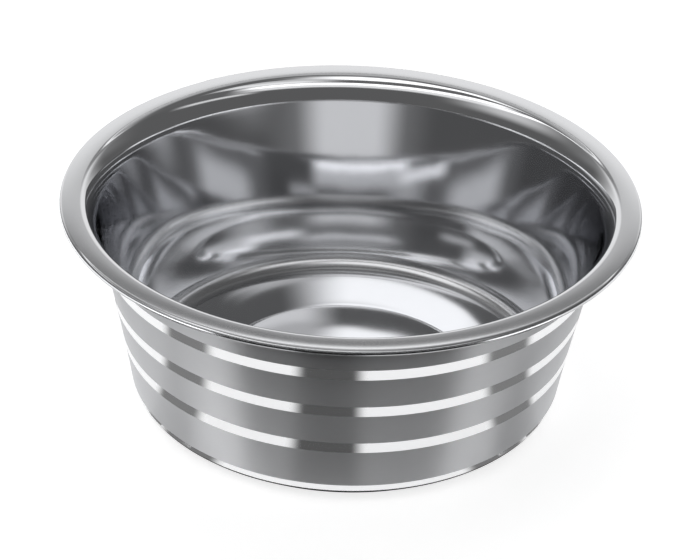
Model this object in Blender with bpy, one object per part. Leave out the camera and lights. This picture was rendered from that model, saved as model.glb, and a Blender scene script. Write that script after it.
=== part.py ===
"""Round pet feeding dish, pressed from one steel sheet, on a bonded rubber ring.

The sheet is followed along its food side, from the middle of the floor out to the
rolled edge of the rim. The same path, moved outwards by the sheet's thickness, is the
outside. The rubber ring under the base takes its place and its top from that outside.
All sizes are in metres and +Z is up. The dish stands on z = 0, centred on the Z axis.
"""

import math

import bmesh
import bpy
from mathutils import Matrix, Vector

# Sheet and overall size
SHEET_THICKNESS = 0.0007
DISH_HEIGHT = 0.0840
RIM_RADIUS = 0.110

# Rim: a flat flange with its edge curled under, a tight shoulder, and a wide soft throat
# from the shoulder into the wall
CURL_RADIUS = 0.0013
CURL_TURN = math.radians(280)
FLANGE_FLAT = 0.0064
SHOULDER_RADIUS = 0.0030
THROAT_RADIUS = 0.0210
THROAT_LEAN = math.radians(40)

# Wall: it leans out, and leans further at the top than at the foot
WALL_FLARE = math.radians(4.0)

# Base corner and floor, measured on the outside of the base and on the food side
BASE_FLAT_RADIUS = 0.0765
CORNER_RADIUS = 0.0075
LAND_WIDTH = 0.0028
DISH_DROP = 0.0012
STEP_FOOT_RADIUS = 0.0526
STEP_WIDTH = 0.0033
STEP_RISE = 0.0017
DISC_CROWN = 0.0016

# Rubber ring, bonded under the base
RING_THICKNESS = 0.0020
RING_WIDTH = 0.0100
RING_INSET = 0.0002
RING_EDGE_RADIUS = 0.0005
BOND_GAP = 0.0003

# Fineness of the faceted solids
SEGMENTS = 60
CURL_STEPS = 8
SHOULDER_STEPS = 4
THROAT_STEPS = 4
WALL_STEPS = 6
CORNER_STEPS = 6
DISH_STEPS = 3
RAMP_STEPS = 4
DISC_STEPS = 3
RING_SEAT_STEPS = 2
RING_EDGE_STEPS = 3
MERGE_DISTANCE = 0.00001
SHARP_ANGLE = math.radians(40)

# Levels and radii that follow from the sizes above
BASE_UNDERSIDE = RING_THICKNESS + BOND_GAP
LAND_LEVEL = BASE_UNDERSIDE + SHEET_THICKNESS
CORNER_CENTRE = (BASE_FLAT_RADIUS, BASE_UNDERSIDE + CORNER_RADIUS)
CURL_CENTRE = (RIM_RADIUS - CURL_RADIUS, DISH_HEIGHT - CURL_RADIUS)
SHOULDER_CENTRE = (CURL_CENTRE[0] - FLANGE_FLAT, DISH_HEIGHT - SHOULDER_RADIUS)
THROAT_WIDENING = THROAT_RADIUS - SHOULDER_RADIUS
THROAT_CENTRE = (SHOULDER_CENTRE[0] + THROAT_WIDENING * math.cos(THROAT_LEAN),
                 SHOULDER_CENTRE[1] - THROAT_WIDENING * math.sin(THROAT_LEAN))


def arc(centre, radius, start, end, steps):
    """Points on an arc in the section, from one angle to another, both included."""
    points = []
    for step in range(steps + 1):
        angle = start + (end - start) * step / steps
        points.append((centre[0] + radius * math.cos(angle), centre[1] + radius * math.sin(angle)))
    return points


def wall_leans():
    """Lean of the wall from the vertical at its foot and at its top.

    The wall is one arc between the corner and the throat, so both leans are half the
    flare away from the lean of the line between its ends. The ends move a little with
    the leans, and a few rounds settle them.
    """
    inner_corner = CORNER_RADIUS - SHEET_THICKNESS
    chord_lean = 0.0
    for _ in range(12):
        foot_lean = chord_lean - WALL_FLARE / 2
        top_lean = chord_lean + WALL_FLARE / 2
        foot = (CORNER_CENTRE[0] + inner_corner * math.cos(foot_lean),
                CORNER_CENTRE[1] - inner_corner * math.sin(foot_lean))
        top = (THROAT_CENTRE[0] - THROAT_RADIUS * math.cos(top_lean),
               THROAT_CENTRE[1] + THROAT_RADIUS * math.sin(top_lean))
        chord_lean = math.atan2(top[0] - foot[0], top[1] - foot[1])
    return foot_lean, top_lean, foot, top


def wall_points(foot_lean, top_lean, foot, top):
    """Food side of the wall between its ends, as an arc whose tangent turns by the flare."""
    chord = math.hypot(top[0] - foot[0], top[1] - foot[1])
    radius = chord / (2 * math.sin((top_lean - foot_lean) / 2))
    centre = (foot[0] + radius * math.cos(foot_lean), foot[1] - radius * math.sin(foot_lean))
    return arc(centre, radius, math.pi - foot_lean, math.pi - top_lean, WALL_STEPS)[1:-1]


def floor_points():
    """Food side of the floor: crowned disc, ramp down, shallow dish and flat land."""
    dish_edge = BASE_FLAT_RADIUS - LAND_WIDTH
    dish_span = dish_edge - STEP_FOOT_RADIUS
    dish_foot_level = LAND_LEVEL - DISH_DROP
    disc_radius = STEP_FOOT_RADIUS - STEP_WIDTH
    points = []
    for step in range(DISC_STEPS):
        share = step / DISC_STEPS
        crown = DISC_CROWN * (1 - share ** 2)
        points.append((disc_radius * share, dish_foot_level + STEP_RISE + crown))
    for step in range(RAMP_STEPS + 1):
        share = step / RAMP_STEPS
        rise = STEP_RISE * (1 + math.cos(math.pi * share)) / 2
        points.append((disc_radius + STEP_WIDTH * share, dish_foot_level + rise))
    for step in range(1, DISH_STEPS + 1):
        share = 1 - step / DISH_STEPS
        points.append((dish_edge - dish_span * share, LAND_LEVEL - DISH_DROP * share ** 2))
    return points


def food_side_path():
    """The sheet's food side, from the axis out to the end of the curled edge."""
    foot_lean, top_lean, foot, top = wall_leans()
    down = -math.pi / 2
    up = math.pi / 2
    path = floor_points()
    path += arc(CORNER_CENTRE, CORNER_RADIUS - SHEET_THICKNESS, down, -foot_lean, CORNER_STEPS)
    path += wall_points(foot_lean, top_lean, foot, top)
    path += arc(THROAT_CENTRE, THROAT_RADIUS, math.pi - top_lean, math.pi - THROAT_LEAN,
                THROAT_STEPS)[:-1]
    path += arc(SHOULDER_CENTRE, SHOULDER_RADIUS, math.pi - THROAT_LEAN, up, SHOULDER_STEPS)
    path += arc(CURL_CENTRE, CURL_RADIUS, up, up - CURL_TURN, CURL_STEPS)
    return path


def moved_out(path, distance):
    """The path moved to its outer side by a distance, with mitred corners.

    The first point is on the axis and moves straight down.
    """
    moved = [(path[0][0], path[0][1] - distance)]
    for index in range(1, len(path)):
        point = Vector(path[index])
        before = (point - Vector(path[index - 1])).normalized()
        after = before
        if index + 1 < len(path):
            after = (Vector(path[index + 1]) - point).normalized()
        normal_before = Vector((before.y, -before.x))
        normal_after = Vector((after.y, -after.x))
        mitre = (normal_before + normal_after).normalized()
        moved.append(tuple(point + mitre * (distance / mitre.dot(normal_before))))
    return moved


def level_at(path, radius):
    """Height of a path, which runs outwards, at a radius on its floor."""
    for (inner_radius, inner_level), (outer_radius, outer_level) in zip(path, path[1:]):
        if inner_radius <= radius <= outer_radius:
            share = (radius - inner_radius) / (outer_radius - inner_radius)
            return inner_level + (outer_level - inner_level) * share
    raise ValueError("the ring reaches past the flat of the base")


def ring_section(outside):
    """Closed section of the rubber ring: flat sole, rounded edges, top that fits the base."""
    outer = BASE_FLAT_RADIUS - RING_INSET
    inner = outer - RING_WIDTH
    edge = RING_EDGE_RADIUS
    outer_edge = arc((outer - edge, edge), edge, -math.pi / 2, 0.0, RING_EDGE_STEPS)
    inner_edge = arc((inner + edge, edge), edge, math.pi, math.pi * 3 / 2, RING_EDGE_STEPS)
    top = []
    for step in range(RING_SEAT_STEPS + 1):
        radius = outer - RING_WIDTH * step / RING_SEAT_STEPS
        top.append((radius, level_at(outside, radius) - BOND_GAP))
    return outer_edge + top + inner_edge


def turned(name, section, material, closed):
    """A solid turned round the Z axis from a section of (radius, height) points.

    An open section starts and ends on the axis. A closed one joins its last point to
    its first.
    """
    mesh = bpy.data.meshes.new(name)
    shape = bmesh.new()
    corners = [shape.verts.new((radius, 0.0, height)) for radius, height in section]
    edges = [shape.edges.new(pair) for pair in zip(corners, corners[1:])]
    if closed:
        edges.append(shape.edges.new((corners[-1], corners[0])))
    bmesh.ops.spin(shape, geom=corners + edges, cent=(0, 0, 0), axis=(0, 0, 1),
                   angle=math.tau, steps=SEGMENTS, use_merge=True, use_duplicate=False)
    bmesh.ops.remove_doubles(shape, verts=shape.verts, dist=MERGE_DISTANCE)
    bmesh.ops.recalc_face_normals(shape, faces=shape.faces)
    shape.to_mesh(mesh)
    shape.free()
    mesh.shade_smooth()
    mesh.set_sharp_from_angle(angle=SHARP_ANGLE)
    mesh.materials.append(material)
    piece = bpy.data.objects.new(name, mesh)
    bpy.context.scene.collection.objects.link(piece)
    piece.matrix_world = Matrix.Identity(4)
    return piece


def finish(name, colour, roughness, metallic):
    """A plain Principled material."""
    material = bpy.data.materials.new(name)
    material.use_nodes = True
    shader = material.node_tree.nodes["Principled BSDF"]
    shader.inputs["Base Color"].default_value = (*colour, 1.0)
    shader.inputs["Roughness"].default_value = roughness
    shader.inputs["Metallic"].default_value = metallic
    return material


def bowl_shell(food_side, outside):
    """The pressed steel sheet with its rolled rim: one piece of metal all over."""
    steel = finish("stainless_steel", (0.62, 0.63, 0.65), 0.25, 1.0)
    return turned("bowl_shell", outside + food_side[::-1], steel, closed=False)


def anti_skid_ring(outside):
    """The rubber ring that the dish stands on."""
    rubber = finish("black_rubber", (0.02, 0.02, 0.02), 0.75, 0.0)
    return turned("anti_skid_ring", ring_section(outside), rubber, closed=True)


def main():
    for leftover in list(bpy.data.objects):
        bpy.data.objects.remove(leftover, do_unlink=True)
    food_side = food_side_path()
    outside = moved_out(food_side, SHEET_THICKNESS)
    bowl_shell(food_side, outside)
    anti_skid_ring(outside)


main()
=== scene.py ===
"""Looks of a round steel feeding dish: its turned sheet, its finishes and its rubber ring.

The bowl is one pressed sheet. Its wall is satin ground, with three polished bands left
in it and a polished corner below. The floor has a flat land, a shallow dish and a raised
disc. All sizes are in metres, +Z is up, and the dish stands on z = 0 round the Z axis.
The polished steel shows the studio round it, so the studio has its own cards and panels.
"""

import logging
import math
from dataclasses import dataclass, field, replace
from enum import Enum
from typing import Any, Iterable, Optional, Sequence

import bmesh
import bpy
from mathutils import Matrix, Vector


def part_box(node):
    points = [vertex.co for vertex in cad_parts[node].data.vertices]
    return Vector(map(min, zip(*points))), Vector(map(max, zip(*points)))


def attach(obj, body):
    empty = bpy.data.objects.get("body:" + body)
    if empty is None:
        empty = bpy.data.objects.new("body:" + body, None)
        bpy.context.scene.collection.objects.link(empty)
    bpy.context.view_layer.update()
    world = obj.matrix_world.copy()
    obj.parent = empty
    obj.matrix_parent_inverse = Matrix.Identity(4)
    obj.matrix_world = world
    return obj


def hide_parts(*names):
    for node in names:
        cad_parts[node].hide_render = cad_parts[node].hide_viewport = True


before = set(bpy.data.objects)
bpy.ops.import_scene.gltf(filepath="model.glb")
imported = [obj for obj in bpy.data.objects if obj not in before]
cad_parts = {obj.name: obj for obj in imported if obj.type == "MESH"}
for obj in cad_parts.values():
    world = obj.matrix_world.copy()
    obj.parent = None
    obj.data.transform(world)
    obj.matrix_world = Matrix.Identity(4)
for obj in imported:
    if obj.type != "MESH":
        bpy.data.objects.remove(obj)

LOG = logging.getLogger("feeding_dish")
ROOT_BODY = "root"
PROFILE_STATION = "station"
ROUND_UV = "round"

Point = tuple[float, float]
Socket = bpy.types.NodeSocket
Colour = tuple[float, float, float]


class Finish(Enum):
    """The finishes of the steel sheet, in the order of the bowl's material slots."""

    UNDERSIDE = 0
    POLISHED = 1
    SATIN = 2
    RIM = 3
    INSIDE = 4
    CREASE = 5
    EDGE = 6
    FLOOR = 7


def arc(centre: Point, radius: float, start: float, end: float, steps: int) -> list[Point]:
    """Points on an arc in the section, both ends included.

    Args:
        centre: Centre of the arc, as radius and height.
        radius: Radius of the arc.
        start: Angle of the first point.
        end: Angle of the last point.
        steps: Number of equal steps between them.

    Returns:
        The points in order.
    """
    points = []
    for step in range(steps + 1):
        angle = start + (end - start) * step / steps
        points.append((centre[0] + radius * math.cos(angle), centre[1] + radius * math.sin(angle)))
    return points


def moved_out(path: Sequence[Point], distance: float) -> list[Point]:
    """The path moved to its outer side, with mitred corners.

    Args:
        path: Section points that start on the axis and run outwards.
        distance: How far the path moves.

    Returns:
        As many points as the path has. The first one moves straight down.
    """
    moved = [(path[0][0], path[0][1] - distance)]
    for index in range(1, len(path)):
        point = Vector(path[index])
        before = (point - Vector(path[index - 1])).normalized()
        after = before
        if index + 1 < len(path):
            after = (Vector(path[index + 1]) - point).normalized()
        normal_before = Vector((before.y, -before.x))
        normal_after = Vector((after.y, -after.x))
        mitre = (normal_before + normal_after).normalized()
        moved.append(tuple(point + mitre * (distance / mitre.dot(normal_before))))
    return moved


def stations_of(path: Sequence[Point]) -> list[float]:
    """Length along a path at each of its points.

    Args:
        path: Section points in order.

    Returns:
        One length for each point, from zero.
    """
    stations = [0.0]
    for before, after in zip(path, path[1:]):
        stations.append(stations[-1] + math.dist(before, after))
    return stations


@dataclass(frozen=True)
class Turning:
    """How a section is turned round the Z axis into a mesh with a UV map round and along it."""

    segments: int = 256
    merge_distance: float = 0.000001
    sharp_angle: float = math.radians(50)

    def solid(self, name: str, section: Sequence[Point], stations: Sequence[float],
              closed: bool) -> bpy.types.Object:
        """Turns a section into a closed solid.

        Args:
            name: Name of the piece.
            section: Points as radius and height. An open section starts and ends on the axis.
            stations: Length along the section at each point, for the UV map.
            closed: Whether the last point joins the first.

        Returns:
            The piece, at the origin, shaded smooth.
        """
        shape = bmesh.new()
        station_layer = shape.verts.layers.float.new(PROFILE_STATION)
        corners = []
        for (radius, height), station in zip(section, stations):
            corner = shape.verts.new((radius, 0.0, height))
            corner[station_layer] = station
            corners.append(corner)
        edges = [shape.edges.new(pair) for pair in zip(corners, corners[1:])]
        if closed:
            edges.append(shape.edges.new((corners[-1], corners[0])))
        bmesh.ops.spin(shape, geom=corners + edges, cent=(0, 0, 0), axis=(0, 0, 1),
                       angle=math.tau, steps=self.segments, use_merge=True, use_duplicate=False)
        bmesh.ops.remove_doubles(shape, verts=shape.verts, dist=self.merge_distance)
        bmesh.ops.recalc_face_normals(shape, faces=shape.faces)
        self.unwrap(shape, station_layer)
        mesh = bpy.data.meshes.new(name)
        shape.to_mesh(mesh)
        shape.free()
        mesh.shade_smooth()
        mesh.set_sharp_from_angle(angle=self.sharp_angle)
        piece = bpy.data.objects.new(name, mesh)
        bpy.context.scene.collection.objects.link(piece)
        return piece

    def unwrap(self, shape: bmesh.types.BMesh, station_layer: Any) -> None:
        """Lays U once round the axis and V along the section.

        Args:
            shape: The turned mesh.
            station_layer: Vertex layer with the length along the section.
        """
        uv_layer = shape.loops.layers.uv.new(ROUND_UV)
        longest = max(vert[station_layer] for vert in shape.verts)
        for face in shape.faces:
            middle = face.calc_center_median()
            middle_turn = math.atan2(middle.y, middle.x) / math.tau
            for loop in face.loops:
                place = loop.vert.co
                turn = math.atan2(place.y, place.x) / math.tau
                if math.hypot(place.x, place.y) < self.merge_distance:
                    turn = middle_turn
                turn += round(middle_turn - turn)
                loop[uv_layer].uv = (turn, loop.vert[station_layer] / longest)


def placed(piece: bpy.types.Object, node: str) -> None:
    """Hands a finished piece to the frame in the place of its plain solid.

    Args:
        piece: The piece, with its place in its mesh.
        node: The frame's solid that the piece stands for.
    """
    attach(piece, ROOT_BODY)
    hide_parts(node)
    faces, materials = len(piece.data.polygons), len(piece.data.materials)
    LOG.info("%s: %d faces, %d materials", piece.name, faces, materials)


def add_node(tree: bpy.types.NodeTree, kind: str, inputs: Optional[dict] = None,
             **settings: Any) -> bpy.types.Node:
    """Adds a node, sets its options and fills its sockets.

    Args:
        tree: The node tree.
        kind: Blender's name of the node.
        inputs: Values or output sockets by input name or number.
        **settings: The node's own options.

    Returns:
        The new node.
    """
    made = tree.nodes.new(kind)
    for name, value in settings.items():
        setattr(made, name, value)
    for name, value in (inputs or {}).items():
        if isinstance(value, bpy.types.NodeSocket):
            tree.links.new(value, made.inputs[name])
        else:
            made.inputs[name].default_value = value
    return made


def maths(tree: bpy.types.NodeTree, operation: str, *values: Any, clamp: bool = False) -> Socket:
    """The output of one Math node.

    Args:
        tree: The node tree.
        operation: The node's operation.
        *values: Numbers or sockets, in the node's order.
        clamp: Whether the result is kept from 0 to 1.

    Returns:
        The node's value.
    """
    inputs = dict(enumerate(values))
    return add_node(tree, "ShaderNodeMath", inputs, operation=operation, use_clamp=clamp).outputs[0]


def mixed(tree: bpy.types.NodeTree, share: Any, low: Any, high: Any) -> Socket:
    """A float between two others.

    Args:
        tree: The node tree.
        share: 0 for the low value, 1 for the high one.
        low: Number or socket.
        high: Number or socket.

    Returns:
        The mixed value.
    """
    return add_node(tree, "ShaderNodeMix", {0: share, 2: low, 3: high}, data_type="FLOAT").outputs[0]


def smooth_step(tree: bpy.types.NodeTree, value: Socket, low: float, high: float) -> Socket:
    """0 below one value, 1 above another, and smooth between them.

    Args:
        tree: The node tree.
        value: What is compared.
        low: Where the step starts.
        high: Where it ends.

    Returns:
        The step.
    """
    inputs = {0: value, 1: low, 2: high, 3: 0.0, 4: 1.0}
    return add_node(tree, "ShaderNodeMapRange", inputs, interpolation_type="SMOOTHSTEP").outputs[0]


class EffectGroups:
    """The shader node groups that the finishes share, each built once.

    The patch stretch slows the noise of the grain down, which gives the slow patches.
    """

    patch_stretch: tuple[float, float, float] = (0.35, 0.35, 0.02)

    def __init__(self) -> None:
        """Builds every group."""
        self.ring_grain = self.build_ring_grain()
        self.sheet_waves = self.build_sheet_waves()
        self.sheet_haze = self.build_sheet_haze()

    @staticmethod
    def new_group(name: str, inputs: dict[str, float],
                  outputs: Iterable[str]) -> tuple[bpy.types.NodeTree, bpy.types.Node, bpy.types.Node]:
        """An empty group with float sockets.

        Args:
            name: Name of the group.
            inputs: Input names with their first values.
            outputs: Output names.

        Returns:
            The group, its input node and its output node.
        """
        group = bpy.data.node_groups.new(name, "ShaderNodeTree")
        for label, value in inputs.items():
            socket = group.interface.new_socket(name=label, in_out="INPUT", socket_type="NodeSocketFloat")
            socket.default_value = value
        for label in outputs:
            group.interface.new_socket(name=label, in_out="OUTPUT", socket_type="NodeSocketFloat")
        return group, add_node(group, "NodeGroupInput"), add_node(group, "NodeGroupOutput")

    def build_ring_grain(self) -> bpy.types.NodeTree:
        """Grain that runs round the Z axis, fine across and long round.

        Returns:
            A group that puts out Lines, a fine streak value, and Patches, a slow one.
        """
        spreads = {"Radial": 4000.0, "Upright": 4000.0, "Round": 30.0}
        group, given, result = self.new_group("ring_grain", spreads, ("Lines", "Patches"))
        place = add_node(group, "ShaderNodeTexCoord").outputs["Object"]
        parts = add_node(group, "ShaderNodeSeparateXYZ", {0: place})
        flat = add_node(group, "ShaderNodeCombineXYZ", {0: parts.outputs[0], 1: parts.outputs[1], 2: 0.0})
        radius = add_node(group, "ShaderNodeVectorMath", {0: flat.outputs[0]},
                          operation="LENGTH").outputs["Value"]
        direction = add_node(group, "ShaderNodeVectorMath", {0: flat.outputs[0]},
                             operation="NORMALIZE").outputs[0]
        turned = add_node(group, "ShaderNodeVectorMath", {0: direction, "Scale": given.outputs["Round"]},
                          operation="SCALE").outputs[0]
        turned_parts = add_node(group, "ShaderNodeSeparateXYZ", {0: turned})
        across = maths(group, "ADD", maths(group, "MULTIPLY", radius, given.outputs["Radial"]),
                       maths(group, "MULTIPLY", parts.outputs[2], given.outputs["Upright"]))
        stretched = add_node(group, "ShaderNodeCombineXYZ",
                             {0: turned_parts.outputs[0], 1: turned_parts.outputs[1], 2: across})
        lines = add_node(group, "ShaderNodeTexNoise",
                         {"Vector": stretched.outputs[0], "Scale": 1.0, "Detail": 3.0, "Roughness": 0.65})
        slow = add_node(group, "ShaderNodeVectorMath", {0: stretched.outputs[0], 1: self.patch_stretch},
                        operation="MULTIPLY").outputs[0]
        patches = add_node(group, "ShaderNodeTexNoise",
                           {"Vector": slow, "Scale": 1.0, "Detail": 2.0, "Roughness": 0.5})
        group.links.new(lines.outputs[0], result.inputs["Lines"])
        group.links.new(patches.outputs[0], result.inputs["Patches"])
        return group

    def build_sheet_waves(self) -> bpy.types.NodeTree:
        """Slow waves that pressing and polishing leave in a sheet.

        Returns:
            A group that puts out Height.
        """
        group, given, result = self.new_group("sheet_waves", {"Waves per metre": 40.0}, ("Height",))
        place = add_node(group, "ShaderNodeTexCoord").outputs["Object"]
        waves = add_node(group, "ShaderNodeTexNoise",
                         {"Vector": place, "Scale": given.outputs[0], "Detail": 1.0, "Roughness": 0.4})
        group.links.new(waves.outputs[0], result.inputs["Height"])
        return group

    def build_sheet_haze(self) -> bpy.types.NodeTree:
        """Soft haze that handling and washing leave on steel.

        Returns:
            A group that puts out Haze.
        """
        group, given, result = self.new_group("sheet_haze", {"Patches per metre": 18.0}, ("Haze",))
        place = add_node(group, "ShaderNodeTexCoord").outputs["Object"]
        haze = add_node(group, "ShaderNodeTexNoise",
                        {"Vector": place, "Scale": given.outputs[0], "Detail": 4.0, "Roughness": 0.6})
        group.links.new(haze.outputs[0], result.inputs["Haze"])
        return group


@dataclass(frozen=True)
class SteelFinish:
    """One finish of the stainless sheet.

    The grain runs round the axis. Its highlight spreads across the grain, so the tangent,
    which runs round, is turned by a quarter. The swings are the share by which a value
    goes up and down with the grain. The foot values make a wall duller near its foot.
    """

    name: str
    colour: Colour
    roughness: float
    roughness_swing: float
    anisotropy: float = 0.0
    colour_swing: float = 0.05
    grain_radial: float = 4000.0
    grain_upright: float = 4000.0
    grain_round: float = 30.0
    grain_height: float = 0.000002
    grain_turn: float = 0.25
    wave_height: float = 0.0
    waves_per_metre: float = 40.0
    haze_roughness: float = 0.05
    foot_roughness: float = 0.0
    foot_low: float = 0.006
    foot_high: float = 0.034

    def material(self, groups: EffectGroups) -> bpy.types.Material:
        """Builds the finish as a material.

        Args:
            groups: The shared effects.

        Returns:
            The material, named after the finish.
        """
        made = bpy.data.materials.new(self.name)
        made.use_nodes = True
        tree = made.node_tree
        shader = tree.nodes["Principled BSDF"]
        grain = add_node(tree, "ShaderNodeGroup", node_tree=groups.ring_grain)
        grain.inputs["Radial"].default_value = self.grain_radial
        grain.inputs["Upright"].default_value = self.grain_upright
        grain.inputs["Round"].default_value = self.grain_round
        haze = add_node(tree, "ShaderNodeGroup", node_tree=groups.sheet_haze)
        waves = add_node(tree, "ShaderNodeGroup", node_tree=groups.sheet_waves)
        waves.inputs["Waves per metre"].default_value = self.waves_per_metre
        streak = mixed(tree, 0.5, grain.outputs["Lines"], grain.outputs["Patches"])
        dark = tuple(part * (1 - self.colour_swing) for part in self.colour)
        light = tuple(min(1.0, part * (1 + self.colour_swing)) for part in self.colour)
        tone = add_node(tree, "ShaderNodeMix", {0: streak, 6: (*dark, 1), 7: (*light, 1)}, data_type="RGBA")
        tree.links.new(tone.outputs[2], shader.inputs["Base Color"])
        swung = maths(tree, "MULTIPLY_ADD", maths(tree, "SUBTRACT", streak, 0.5),
                      2 * self.roughness_swing, self.roughness)
        rough = maths(tree, "MULTIPLY_ADD", haze.outputs["Haze"], self.haze_roughness, swung, clamp=True)
        if self.foot_roughness:
            rough = self.duller_at_foot(tree, rough)
        tree.links.new(rough, shader.inputs["Roughness"])
        shader.inputs["Metallic"].default_value = 1.0
        height = maths(tree, "MULTIPLY_ADD", waves.outputs["Height"], self.wave_height,
                       maths(tree, "MULTIPLY", grain.outputs["Lines"], self.grain_height))
        bump = add_node(tree, "ShaderNodeBump", {"Strength": 1.0, "Distance": 1.0, "Height": height})
        tree.links.new(bump.outputs[0], shader.inputs["Normal"])
        if self.anisotropy:
            shader.inputs["Anisotropic"].default_value = self.anisotropy
            shader.inputs["Anisotropic Rotation"].default_value = self.grain_turn
            round_tangent = add_node(tree, "ShaderNodeTangent", direction_type="UV_MAP", uv_map=ROUND_UV)
            tree.links.new(round_tangent.outputs[0], shader.inputs["Tangent"])
        return made

    def duller_at_foot(self, tree: bpy.types.NodeTree, rough: Socket) -> Socket:
        """Makes the steel duller towards the foot of the wall, where polishing reaches it less.

        Args:
            tree: The material's node tree.
            rough: Roughness of the rest.

        Returns:
            The roughness with the dull foot.
        """
        place = add_node(tree, "ShaderNodeTexCoord").outputs["Object"]
        height = add_node(tree, "ShaderNodeSeparateXYZ", {0: place}).outputs[2]
        up = smooth_step(tree, height, self.foot_low, self.foot_high)
        return maths(tree, "MULTIPLY_ADD", maths(tree, "SUBTRACT", 1.0, up), self.foot_roughness, rough)


@dataclass(frozen=True)
class RubberFinish:
    """Matt moulded rubber with a fine speckle."""

    name: str = "black_rubber"
    colour: Colour = (0.018, 0.018, 0.019)
    roughness: float = 0.72
    speckles_per_metre: float = 2200.0
    speckle_height: float = 0.00003
    dust_patches_per_metre: float = 45.0
    dust_brightening: float = 1.9
    dust_roughness: float = 0.15
    clean_smoothing: float = 0.08

    def material(self) -> bpy.types.Material:
        """Builds the rubber as a material, named after the finish."""
        made = bpy.data.materials.new(self.name)
        made.use_nodes = True
        tree = made.node_tree
        shader = tree.nodes["Principled BSDF"]
        place = add_node(tree, "ShaderNodeTexCoord").outputs["Object"]
        speckle = add_node(tree, "ShaderNodeTexNoise",
                           {"Vector": place, "Scale": self.speckles_per_metre, "Detail": 2.0})
        dust = add_node(tree, "ShaderNodeTexNoise",
                        {"Vector": place, "Scale": self.dust_patches_per_metre, "Detail": 4.0})
        dusty = tuple(part * self.dust_brightening for part in self.colour)
        tone = add_node(tree, "ShaderNodeMix", {0: dust.outputs[0], 6: (*self.colour, 1), 7: (*dusty, 1)},
                        data_type="RGBA")
        tree.links.new(tone.outputs[2], shader.inputs["Base Color"])
        rough = maths(tree, "MULTIPLY_ADD", dust.outputs[0], self.dust_roughness,
                      self.roughness - self.clean_smoothing)
        tree.links.new(rough, shader.inputs["Roughness"])
        bump = add_node(tree, "ShaderNodeBump", {"Strength": 1.0, "Distance": self.speckle_height,
                                                 "Height": speckle.outputs[0]})
        tree.links.new(bump.outputs[0], shader.inputs["Normal"])
        return made


MIRROR_POLISH = SteelFinish("polished_floor", (0.72, 0.725, 0.74), 0.045, 0.015, colour_swing=0.02,
                            grain_height=0.0000004, wave_height=0.00005, haze_roughness=0.012)

STEEL_FINISHES = {
    Finish.UNDERSIDE: SteelFinish("mill_underside", (0.46, 0.465, 0.475), 0.36, 0.06, haze_roughness=0.08,
                                  wave_height=0.00004),
    Finish.POLISHED: SteelFinish("polished_bands", (0.86, 0.865, 0.875), 0.11, 0.02, anisotropy=0.5,
                                 colour_swing=0.015, grain_height=0.0000004, haze_roughness=0.02),
    Finish.SATIN: SteelFinish("satin_wall", (0.53, 0.534, 0.546), 0.60, 0.05, anisotropy=1.0,
                              colour_swing=0.06),
    Finish.RIM: SteelFinish("smooth_rim", (0.70, 0.705, 0.72), 0.08, 0.02, anisotropy=0.3,
                            colour_swing=0.02, grain_height=0.0000006, wave_height=0.00001,
                            haze_roughness=0.02),
    Finish.INSIDE: replace(MIRROR_POLISH, name="polished_inside", foot_roughness=0.05),
    # The crease at the foot of the inside wall is rougher than the polish round it, and its colour is darker
    # than the polished floor and wall: painted shade in the corner.
    Finish.CREASE: SteelFinish("dull_crease_painted_shade", (0.52, 0.524, 0.535), 0.20, 0.03, colour_swing=0.04,
                               grain_height=0.0000006, haze_roughness=0.03),
    # The rolled edge is rougher than the rim, and its colour is darker than the rim's: painted shade under
    # the rim's highlight.
    Finish.EDGE: SteelFinish("rolled_edge_painted_shade", (0.46, 0.464, 0.475), 0.18, 0.03, anisotropy=0.3,
                             colour_swing=0.03, grain_height=0.0000006, haze_roughness=0.03),
    Finish.FLOOR: MIRROR_POLISH,
}


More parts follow.
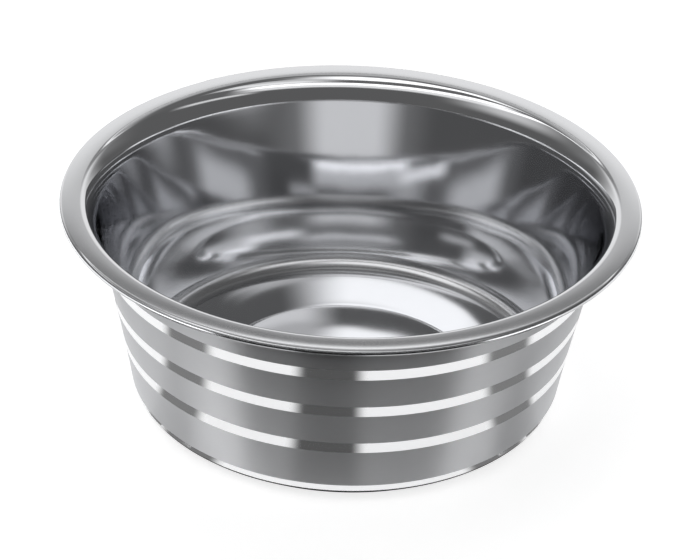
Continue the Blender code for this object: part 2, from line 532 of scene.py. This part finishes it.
@dataclass
class BowlShell:
    """The pressed steel sheet: floor, corner, wall, throat, shoulder, flange and rolled edge.

    Steps count the straight pieces of each stretch of the section. The rim's smooth finish
    reaches smooth_curl_steps over the rolled edge, and the mirror polish of the inside
    reaches mirror_shoulder_steps up the shoulder.
    """

    rim_radius: float
    height: float
    ring_top: float
    sheet: float = 0.0007
    curl_radius: float = 0.0013
    curl_turn: float = math.radians(280)
    flange_flat: float = 0.0064
    shoulder_radius: float = 0.0030
    throat_radius: float = 0.0210
    throat_lean: float = math.radians(40)
    wall_flare: float = math.radians(4.0)
    base_flat_radius: float = 0.0765
    corner_radius: float = 0.0075
    land_width: float = 0.0028
    dish_drop: float = 0.0012
    step_foot_radius: float = 0.0526
    step_width: float = 0.0033
    step_rise: float = 0.0017
    disc_crown: float = 0.0016
    bond_gap: float = 0.0003
    strip_top: float = 0.0091
    first_band: float = 0.0279
    band_pitch: float = 0.01793
    band_width: float = 0.0047
    band_count: int = 3
    wall_step: float = 0.0026
    disc_steps: int = 12
    ramp_steps: int = 12
    dish_steps: int = 14
    corner_steps: int = 16
    throat_steps: int = 12
    shoulder_steps: int = 12
    curl_steps: int = 28
    smooth_curl_steps: int = 4
    mirror_shoulder_steps: int = 2
    lean_rounds: int = 12
    turning: Turning = field(default_factory=Turning)
    land_level: float = field(init=False)
    corner_centre: Point = field(init=False)
    curl_centre: Point = field(init=False)
    shoulder_centre: Point = field(init=False)
    throat_centre: Point = field(init=False)
    outside: list[Point] = field(init=False, default_factory=list)

    def __post_init__(self) -> None:
        """Works out the levels and centres that follow from the sizes."""
        self.land_level = self.ring_top + self.bond_gap + self.sheet
        self.corner_centre = (self.base_flat_radius, self.ring_top + self.bond_gap + self.corner_radius)
        self.curl_centre = (self.rim_radius - self.curl_radius, self.height - self.curl_radius)
        self.shoulder_centre = (self.curl_centre[0] - self.flange_flat, self.height - self.shoulder_radius)
        widening = self.throat_radius - self.shoulder_radius
        self.throat_centre = (self.shoulder_centre[0] + widening * math.cos(self.throat_lean),
                              self.shoulder_centre[1] - widening * math.sin(self.throat_lean))

    def wall_leans(self) -> tuple[float, float, Point, Point]:
        """Lean of the wall at its foot and at its top, and where the food side has them.

        Returns:
            Foot lean, top lean, foot point and top point.
        """
        inner_corner = self.corner_radius - self.sheet
        chord_lean = 0.0
        for _ in range(self.lean_rounds):
            foot_lean = chord_lean - self.wall_flare / 2
            top_lean = chord_lean + self.wall_flare / 2
            foot = (self.corner_centre[0] + inner_corner * math.cos(foot_lean),
                    self.corner_centre[1] - inner_corner * math.sin(foot_lean))
            top = (self.throat_centre[0] - self.throat_radius * math.cos(top_lean),
                   self.throat_centre[1] + self.throat_radius * math.sin(top_lean))
            chord_lean = math.atan2(top[0] - foot[0], top[1] - foot[1])
        return foot_lean, top_lean, foot, top

    def band_edges(self) -> list[float]:
        """Heights on the outside where the finish changes, from the bottom up."""
        edges = [self.strip_top]
        for band in range(self.band_count):
            middle = self.first_band + band * self.band_pitch
            edges += [middle - self.band_width / 2, middle + self.band_width / 2]
        return edges

    def wall_points(self) -> list[Point]:
        """Food side of the wall between its ends, with a point opposite each band edge."""
        foot_lean, top_lean, foot, top = self.wall_leans()
        chord = math.dist(foot, top)
        radius = chord / (2 * math.sin((top_lean - foot_lean) / 2))
        centre = (foot[0] + radius * math.cos(foot_lean), foot[1] - radius * math.sin(foot_lean))
        outer_radius = radius + self.sheet
        stops = [math.pi - foot_lean]
        stops += [math.pi - math.asin((edge - centre[1]) / outer_radius) for edge in self.band_edges()]
        stops.append(math.pi - top_lean)
        points: list[Point] = []
        for start, end in zip(stops, stops[1:]):
            steps = max(1, round(abs(end - start) * radius / self.wall_step))
            points += arc(centre, radius, start, end, steps)[1:]
        return points[:-1]

    def floor_points(self) -> list[Point]:
        """Food side of the floor: crowned disc, ramp down, shallow dish and flat land."""
        dish_edge = self.base_flat_radius - self.land_width
        dish_span = dish_edge - self.step_foot_radius
        foot_level = self.land_level - self.dish_drop
        disc_radius = self.step_foot_radius - self.step_width
        points = []
        for step in range(self.disc_steps):
            share = step / self.disc_steps
            crown = self.disc_crown * (1 - share ** 2)
            points.append((disc_radius * share, foot_level + self.step_rise + crown))
        for step in range(self.ramp_steps + 1):
            share = step / self.ramp_steps
            rise = self.step_rise * (1 + math.cos(math.pi * share)) / 2
            points.append((disc_radius + self.step_width * share, foot_level + rise))
        for step in range(1, self.dish_steps + 1):
            share = 1 - step / self.dish_steps
            points.append((dish_edge - dish_span * share, self.land_level - self.dish_drop * share ** 2))
        return points

    def food_side(self) -> tuple[list[Point], dict[str, int]]:
        """The food side of the sheet, from the axis to the end of the rolled edge.

        Returns:
            The points, and the number of the first point of each named stretch.
        """
        foot_lean, top_lean, _, _ = self.wall_leans()
        down, up = -math.pi / 2, math.pi / 2
        stretches = {
            "floor": self.floor_points(),
            "corner": arc(self.corner_centre, self.corner_radius - self.sheet, down, -foot_lean,
                          self.corner_steps),
            "wall": self.wall_points(),
            "throat": arc(self.throat_centre, self.throat_radius,
                          math.pi - top_lean, math.pi - self.throat_lean, self.throat_steps)[:-1],
            "shoulder": arc(self.shoulder_centre, self.shoulder_radius,
                            math.pi - self.throat_lean, up, self.shoulder_steps),
            "curl": arc(self.curl_centre, self.curl_radius, up, up - self.curl_turn, self.curl_steps),
        }
        path: list[Point] = []
        starts = {}
        for name, points in stretches.items():
            starts[name] = len(path)
            path += points
        return path, starts

    def build(self) -> bpy.types.Object:
        """Turns the closed section of the sheet and gives each face its finish."""
        food, starts = self.food_side()
        self.outside = moved_out(food, self.sheet)
        section = self.outside + food[::-1]
        stations = stations_of(section)
        piece = self.turning.solid("dish_shell", section, stations, closed=False)
        self.mark_finishes(piece.data, stations, starts, len(food))
        return piece

    def mark_finishes(self, mesh: bpy.types.Mesh, stations: list[float], starts: dict[str, int],
                      count: int) -> None:
        """Gives each face the material slot of its stretch of the section.

        Args:
            mesh: The turned mesh.
            stations: Length along the section at each section point.
            starts: First point of each stretch on the food side.
            count: Number of points on one side.
        """
        changes = [(0.0, Finish.UNDERSIDE), (stations[starts["corner"]], Finish.POLISHED)]
        heights = [point[1] for point in self.outside]
        in_wall = range(starts["corner"] + 1, starts["throat"])
        for number, edge in enumerate(self.band_edges()):
            nearest = min(in_wall, key=lambda index: abs(heights[index] - edge))
            changes.append((stations[nearest], Finish.SATIN if number % 2 == 0 else Finish.POLISHED))
        last = len(stations) - 1
        changes.append((stations[starts["shoulder"] + self.shoulder_steps // 2], Finish.UNDERSIDE))
        # From the tip of the rolled edge round to near its top, the sheet takes the darker edge finish:
        # painted shade.
        changes.append((stations[count - 1], Finish.EDGE))
        changes.append((stations[last - starts["curl"] - self.smooth_curl_steps], Finish.RIM))
        changes.append((stations[last - starts["shoulder"] - self.mirror_shoulder_steps], Finish.INSIDE))
        # The inside corner takes the darker crease finish: painted shade.
        changes.append((stations[last - starts["wall"]], Finish.CREASE))
        changes.append((stations[last - starts["corner"]], Finish.FLOOR))
        layer = mesh.attributes[PROFILE_STATION].data
        for face in mesh.polygons:
            middle = sum(layer[vertex].value for vertex in face.vertices) / len(face.vertices)
            kept = [finish for station, finish in changes if station <= middle]
            face.material_index = kept[-1].value

    def dress(self, piece: bpy.types.Object, groups: EffectGroups) -> None:
        """Gives the bowl its steel finishes, in the order of their slots.

        Args:
            piece: The turned bowl.
            groups: The shared effects.
        """
        for finish in Finish:
            piece.data.materials.append(STEEL_FINISHES[finish].material(groups))


@dataclass
class AntiSkidRing:
    """The rubber ring bonded under the base."""

    outside: list[Point]
    base_flat_radius: float
    bond_gap: float
    width: float = 0.0100
    inset: float = 0.0002
    edge_radius: float = 0.0005
    edge_steps: int = 8
    top_steps: int = 8
    turning: Turning = field(default_factory=Turning)

    def level_at(self, radius: float) -> float:
        """Height of the bowl's outside over a radius on its base.

        Args:
            radius: Distance from the axis.

        Returns:
            The height there.
        """
        for (inner, inner_level), (outer, outer_level) in zip(self.outside, self.outside[1:]):
            if inner <= radius <= outer:
                return inner_level + (outer_level - inner_level) * (radius - inner) / (outer - inner)
        raise ValueError("the ring reaches past the flat of the base")

    def build(self) -> bpy.types.Object:
        """Turns the ring: flat sole, rounded edges and a top that fits the base."""
        outer = self.base_flat_radius - self.inset
        inner = outer - self.width
        edge = self.edge_radius
        section = arc((outer - edge, edge), edge, -math.pi / 2, 0.0, self.edge_steps)
        for step in range(self.top_steps + 1):
            radius = outer - self.width * step / self.top_steps
            section.append((radius, self.level_at(radius) - self.bond_gap))
        section += arc((inner + edge, edge), edge, math.pi, math.pi * 3 / 2, self.edge_steps)
        return self.turning.solid("rubber_ring", section, stations_of(section), closed=True)


@dataclass(frozen=True)
class Softbox:
    """A soft lamp that faces the dish from a direction and doesn't show in the steel."""

    name: str
    azimuth: float
    elevation: float
    distance: float
    width: float
    tall: float
    radiance: float

    def build(self, aim: Vector) -> None:
        """Places the lamp.

        Args:
            aim: The point that it faces.
        """
        data = bpy.data.lights.new(self.name, "AREA")
        data.shape = "RECTANGLE"
        data.size = self.width
        data.size_y = self.tall
        data.energy = math.pi * self.width * self.tall * self.radiance
        lamp = bpy.data.objects.new(self.name, data)
        bpy.context.scene.collection.objects.link(lamp)
        azimuth, elevation = math.radians(self.azimuth), math.radians(self.elevation)
        away = Vector((math.sin(azimuth) * math.cos(elevation), -math.cos(azimuth) * math.cos(elevation),
                       math.sin(elevation)))
        lamp.location = aim + away * self.distance
        lamp.rotation_mode = "QUATERNION"
        lamp.rotation_quaternion = away.to_track_quat("Z", "Y")
        lamp.visible_camera = False
        lamp.visible_glossy = False


def azimuth_of(tree: bpy.types.NodeTree, direction: Socket) -> Socket:
    """Azimuth of a place or direction in degrees, 0 in front of the dish and growing to the right.

    Args:
        tree: The node tree.
        direction: The vector.

    Returns:
        The azimuth.
    """
    parts = add_node(tree, "ShaderNodeSeparateXYZ", {0: direction})
    toward_front = maths(tree, "MULTIPLY", parts.outputs[1], -1.0)
    return maths(tree, "DEGREES", maths(tree, "ARCTAN2", parts.outputs[0], toward_front))


def away_from(tree: bpy.types.NodeTree, azimuth: Socket, middle: float) -> Socket:
    """How many degrees an azimuth is from another, either way round.

    Args:
        tree: The node tree.
        azimuth: The azimuth.
        middle: What it is compared with.

    Returns:
        The angle, from 0 to 180.
    """
    aside = maths(tree, "WRAP", maths(tree, "SUBTRACT", azimuth, middle), 180.0, -180.0)
    return maths(tree, "ABSOLUTE", aside)


def stage_reflector(shape: bmesh.types.BMesh, name: str, tone: float) -> bpy.types.Material:
    """Adds a plain glowing sheet of the studio to the scene, which only reflections show.

    Args:
        shape: Its mesh, which is freed here.
        name: Name of the object and of its material.
        tone: Its grey level, where 1 is white.

    Returns:
        The sheet's material.
    """
    mesh = bpy.data.meshes.new(name)
    shape.to_mesh(mesh)
    shape.free()
    sheet = bpy.data.objects.new(name, mesh)
    bpy.context.scene.collection.objects.link(sheet)
    sheet.visible_camera = False
    sheet.visible_diffuse = False
    sheet.visible_shadow = False
    sheet.visible_transmission = False
    material = bpy.data.materials.new(name)
    material.use_nodes = True
    shader = material.node_tree.nodes["Principled BSDF"]
    shader.inputs["Base Color"].default_value = (0, 0, 0, 1)
    shader.inputs["Specular IOR Level"].default_value = 0.0
    shader.inputs["Emission Color"].default_value = (1, 1, 1, 1)
    shader.inputs["Emission Strength"].default_value = tone
    mesh.materials.append(material)
    return material


@dataclass(frozen=True)
class FloorCard:
    """A dark card on the floor, shaped as a sector of a ring, which only reflections show."""

    name: str
    turn: float
    half_angle: float
    inner: float
    outer: float
    tone: float
    fade: float = 5.0
    edge_tone: float = 0.95
    level: float = 0.0008
    fewest_steps: int = 24

    def build(self) -> None:
        """Sweeps a radial edge round the axis, adds the sector to the scene and fades its sides into the
        floor.
        """
        shape = bmesh.new()
        start = math.radians(self.turn - self.half_angle)
        ends = [shape.verts.new((radius * math.sin(start), -radius * math.cos(start), self.level))
                for radius in (self.inner, self.outer)]
        edge = shape.edges.new(ends)
        steps = max(self.fewest_steps, round(self.half_angle))
        bmesh.ops.spin(shape, geom=ends + [edge], cent=(0, 0, 0), axis=(0, 0, 1),
                       angle=math.radians(2 * self.half_angle), steps=steps, use_duplicate=False)
        tree = stage_reflector(shape, self.name, self.tone).node_tree
        place = add_node(tree, "ShaderNodeTexCoord").outputs["Object"]
        aside = away_from(tree, azimuth_of(tree, place), self.turn)
        faded = smooth_step(tree, aside, self.half_angle - self.fade, self.half_angle)
        glow = mixed(tree, faded, self.tone, self.edge_tone)
        tree.links.new(glow, tree.nodes["Principled BSDF"].inputs["Emission Strength"])


@dataclass(frozen=True)
class SidePanel:
    """A low upright panel, curved round the dish, which only reflections show."""

    name: str
    start: float
    end: float
    tone: float
    radius: float = 0.22
    low: float = 0.001
    tall: float = 0.08
    steps: int = 32

    def build(self) -> None:
        """Sweeps an upright edge round the axis and adds the panel to the scene."""
        shape = bmesh.new()
        turn = math.radians(self.start)
        ends = [shape.verts.new((self.radius * math.sin(turn), -self.radius * math.cos(turn), level))
                for level in (self.low, self.tall)]
        edge = shape.edges.new(ends)
        bmesh.ops.spin(shape, geom=ends + [edge], cent=(0, 0, 0), axis=(0, 0, 1),
                       angle=math.radians(self.end - self.start), steps=self.steps, use_duplicate=False)
        stage_reflector(shape, self.name, self.tone)


@dataclass(frozen=True)
class GlowPatch:
    """A soft-edged part of the room that reflections see, placed by azimuth and elevation.

    Azimuth 0 is in front of the dish, and it grows to the right. All angles are in degrees.
    """

    name: str
    azimuth: float
    half_width: float
    side_softness: float
    low: float
    high: float
    edge_softness: float
    radiance: float

    def over(self, tree: bpy.types.NodeTree, azimuth: Socket, elevation: Socket, below: Any) -> Socket:
        """Lays the patch over what is already there.

        Args:
            tree: The world's node tree.
            azimuth: Azimuth of the direction.
            elevation: Elevation of the direction.
            below: Radiance so far, as a number or a socket.

        Returns:
            The radiance with the patch.
        """
        aside = away_from(tree, azimuth, self.azimuth)
        side, edge = self.side_softness, self.edge_softness
        outside = smooth_step(tree, aside, self.half_width - side, self.half_width + side)
        across = maths(tree, "SUBTRACT", 1.0, outside)
        rising = smooth_step(tree, elevation, self.low - edge, self.low + edge)
        falling = smooth_step(tree, elevation, self.high - edge, self.high + edge)
        upright = maths(tree, "MULTIPLY", rising, maths(tree, "SUBTRACT", 1.0, falling))
        return mixed(tree, maths(tree, "MULTIPLY", across, upright), below, self.radiance)


@dataclass
class Studio:
    """A plain pale floor, soft lamps and a room whose soft panels show in the steel.

    The hollow of the dish mirrors itself over and over, so rays are followed for many bounces.
    """

    floor_radius: float = 12.0
    floor_segments: int = 96
    floor_tone: float = 0.55
    floor_fill: float = 0.76
    near_floor: float = 0.5
    far_floor: float = 3.0
    ambient: float = 0.30
    room_tone: float = 0.13
    mirror_bounces: int = 12
    lamp_aim: tuple[float, float, float] = (0.0, 0.0, 0.05)
    # Each patch: name, azimuth, half width, side softness, low, high, edge softness, radiance
    patches: tuple[GlowPatch, ...] = (
        GlowPatch("upper_room", 0, 182, 1, 32, 95, 4, 0.15),
        GlowPatch("backdrop_top", 185, 62, 19, 11, 47, 5, 0.26),
        GlowPatch("backdrop", 183, 36, 16, -95, 29.5, 3.5, 1.02),
        GlowPatch("left_panel", -77, 22, 20, 20, 36, 7, 0.70),
        GlowPatch("front_top", -12, 65, 12, 36.5, 40.5, 1.5, 2.5),
        GlowPatch("front_line", -12, 66, 12, 31.5, 36.5, 1.6, 1),
        GlowPatch("disc_light", 44, 28, 14, 41.5, 46.8, 0.8, 1.05),
        GlowPatch("key", -40, 62, 26, 48, 66, 0.8, 1.75),
        GlowPatch("key_side", 40, 26, 14, 46, 50, 1, 0.7),
        GlowPatch("overhead", 185, 42, 21, 40, 95, 2, 0.55),
        GlowPatch("front_high", 0, 60, 20, 66, 80, 5, 0.45),
        GlowPatch("back_line", 180, 48, 14, 36.2, 38.6, 0.7, 1.4),
        GlowPatch("left_line", -100, 30, 12, 32.5, 36, 1, 1.8),
        GlowPatch("right_line", 68, 18, 8, 27.5, 30.5, 1.2, 0.9),
    )
    # Each panel: name, first and last azimuth, tone
    panels: tuple[SidePanel, ...] = (
        SidePanel("left_front_panel", -62, -38, 3.2),
        SidePanel("left_side_panel", -160, -62, 2.1),
        SidePanel("right_front_panel", 40, 65, 2.8),
        SidePanel("right_middle_panel", 65, 83, 1.5),
        SidePanel("right_side_panel", 83, 160, 1.85),
    )
    lamps: tuple[Softbox, ...] = (
        Softbox("key_softbox", azimuth=-45, elevation=57, distance=1.3, width=0.80, tall=0.60, radiance=1.8),
        Softbox("overhead_softbox", azimuth=180, elevation=67, distance=1.3, width=1.2, tall=1.0,
                radiance=1.25),
    )

    def build(self) -> None:
        """Builds the floor, the dark cards, the panels, the lamps and the world."""
        self.build_floor()
        self.build_world()
        for card in self.floor_cards():
            card.build()
        for panel in self.panels:
            panel.build()
        bpy.context.scene.cycles.glossy_bounces = self.mirror_bounces
        for lamp in self.lamps:
            lamp.build(Vector(self.lamp_aim))

    @staticmethod
    def floor_cards() -> list[FloorCard]:
        """The dark cards before and behind the dish, beside it and at its foot, and a thin dark ring all
        round the rubber ring that is painted contact shadow.

        Returns:
            The cards, in the order in which they are built.
        """
        cards = []
        for side, turn in (("front", 0.0), ("back", 180.0)):
            cards.append(FloorCard(f"{side}_near_card", turn - 5.0, half_angle=12.5,
                                   inner=0.0935, outer=0.155, tone=0.10))
            cards.append(FloorCard(f"{side}_far_card", turn, half_angle=48.0,
                                   inner=0.153, outer=1.6, tone=0.03))
        for number, turn in enumerate((-123.0, -58.0, 60.0, 123.0)):
            cards.append(FloorCard(f"side_card_{number}", turn, half_angle=12.0,
                                   inner=0.0835, outer=0.22, tone=0.22))
        for number, turn in enumerate((-47.0, 48.0)):
            cards.append(FloorCard(f"foot_card_{number}", turn, half_angle=13.0,
                                   inner=0.0785, outer=0.092, tone=0.20))
        # A thin dark ring beside the rubber ring, seen only in reflections, stands in for the shadow where
        # the base meets the floor: painted contact shadow.
        cards.append(FloorCard("painted_contact_shadow_card", 0.0, half_angle=180.0, inner=0.0765, outer=0.0817,
                               tone=0.02, fade=0.01, level=0.0009))
        return cards

    @staticmethod
    def seen_background(tree: bpy.types.NodeTree) -> Socket:
        """1 for camera, glossy and transmission rays, which show the background, 0 for the others.

        Args:
            tree: The node tree that reads it.

        Returns:
            The value.
        """
        path = add_node(tree, "ShaderNodeLightPath")
        seen = maths(tree, "MAXIMUM", path.outputs["Is Camera Ray"], path.outputs["Is Glossy Ray"])
        return maths(tree, "MAXIMUM", seen, path.outputs["Is Transmission Ray"])

    def build_floor(self) -> None:
        """A pale floor that shows white and keeps the shadow of the dish."""
        shape = bmesh.new()
        bmesh.ops.create_circle(shape, cap_ends=True, segments=self.floor_segments,
                                radius=self.floor_radius)
        mesh = bpy.data.meshes.new("studio_floor")
        shape.to_mesh(mesh)
        shape.free()
        floor = bpy.data.objects.new("studio_floor", mesh)
        bpy.context.scene.collection.objects.link(floor)
        material = bpy.data.materials.new("pale_floor")
        material.use_nodes = True
        tree = material.node_tree
        shader = tree.nodes["Principled BSDF"]
        tone = self.floor_tone
        shader.inputs["Base Color"].default_value = (tone, tone, tone, 1)
        shader.inputs["Roughness"].default_value = 1.0
        shader.inputs["Specular IOR Level"].default_value = 0.0
        place = add_node(tree, "ShaderNodeTexCoord").outputs["Object"]
        distance = add_node(tree, "ShaderNodeVectorMath", {0: place}, operation="LENGTH").outputs["Value"]
        far = add_node(tree, "ShaderNodeMapRange", {0: distance, 1: self.near_floor, 2: self.far_floor,
                                                    3: self.floor_fill, 4: 1.0})
        fill = maths(tree, "MULTIPLY", self.seen_background(tree), far.outputs[0])
        shader.inputs["Emission Color"].default_value = (1, 1, 1, 1)
        tree.links.new(fill, shader.inputs["Emission Strength"])
        mesh.materials.append(material)

    def build_world(self) -> None:
        """Soft ambient light, a white background, and soft panels for reflections."""
        world = bpy.data.worlds.new("studio_room")
        world.use_nodes = True
        bpy.context.scene.world = world
        tree = world.node_tree
        direction = add_node(tree, "ShaderNodeTexCoord").outputs["Generated"]
        azimuth = azimuth_of(tree, direction)
        rise = add_node(tree, "ShaderNodeSeparateXYZ", {0: direction}).outputs[2]
        elevation = maths(tree, "DEGREES", maths(tree, "ARCSINE", rise))
        reflected: Any = self.room_tone
        for patch in self.patches:
            reflected = patch.over(tree, azimuth, elevation, reflected)
        path = add_node(tree, "ShaderNodeLightPath")
        glossy = mixed(tree, path.outputs["Is Glossy Ray"], self.ambient, reflected)
        seen = maths(tree, "MAXIMUM", path.outputs["Is Camera Ray"], path.outputs["Is Transmission Ray"])
        background = tree.nodes["Background"]
        background.inputs["Color"].default_value = (1, 1, 1, 1)
        tree.links.new(mixed(tree, seen, glossy, 1.0), background.inputs["Strength"])


@dataclass(frozen=True)
class PhotoCamera:
    """A long-lens camera at the photograph's angle."""

    lens: float = 128.57
    sensor: float = 36.0
    elevation: float = 31.13
    roll: float = 2.06
    distance: float = 0.9646
    aim: tuple[float, float, float] = (0.00067, 0.0, 0.04582)

    def build(self) -> None:
        """Places the camera and makes it the scene's own."""
        data = bpy.data.cameras.new("photo_camera")
        data.lens = self.lens
        data.sensor_width = self.sensor
        camera = bpy.data.objects.new("photo_camera", data)
        bpy.context.scene.collection.objects.link(camera)
        tilt, roll = math.radians(self.elevation), math.radians(self.roll)
        forward = Vector((0.0, math.cos(tilt), -math.sin(tilt)))
        level = Vector((1.0, 0.0, 0.0))
        upright = level.cross(forward)
        right = level * math.cos(roll) + upright * math.sin(roll)
        above = upright * math.cos(roll) - level * math.sin(roll)
        turn = Matrix((right, above, -forward)).transposed().to_4x4()
        camera.matrix_world = Matrix.Translation(Vector(self.aim) - forward * self.distance) @ turn
        bpy.context.scene.camera = camera


def main() -> None:
    """Builds the dish, its studio and its camera."""
    logging.basicConfig(level=logging.INFO, format="%(name)s: %(message)s")
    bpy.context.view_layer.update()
    scene = bpy.context.scene
    scene.view_settings.view_transform = "Standard"
    PhotoCamera().build()
    Studio().build()
    groups = EffectGroups()
    _, rim_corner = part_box("bowl_shell")
    bowl = BowlShell(rim_radius=0.110, height=rim_corner.z, ring_top=0.0020)
    shell = bowl.build()
    bowl.dress(shell, groups)
    placed(shell, "bowl_shell")
    ring = AntiSkidRing(bowl.outside, bowl.base_flat_radius, bowl.bond_gap)
    rubber = ring.build()
    rubber.data.materials.append(RubberFinish().material())
    placed(rubber, "anti_skid_ring")


if __name__ == "__main__":
    main()
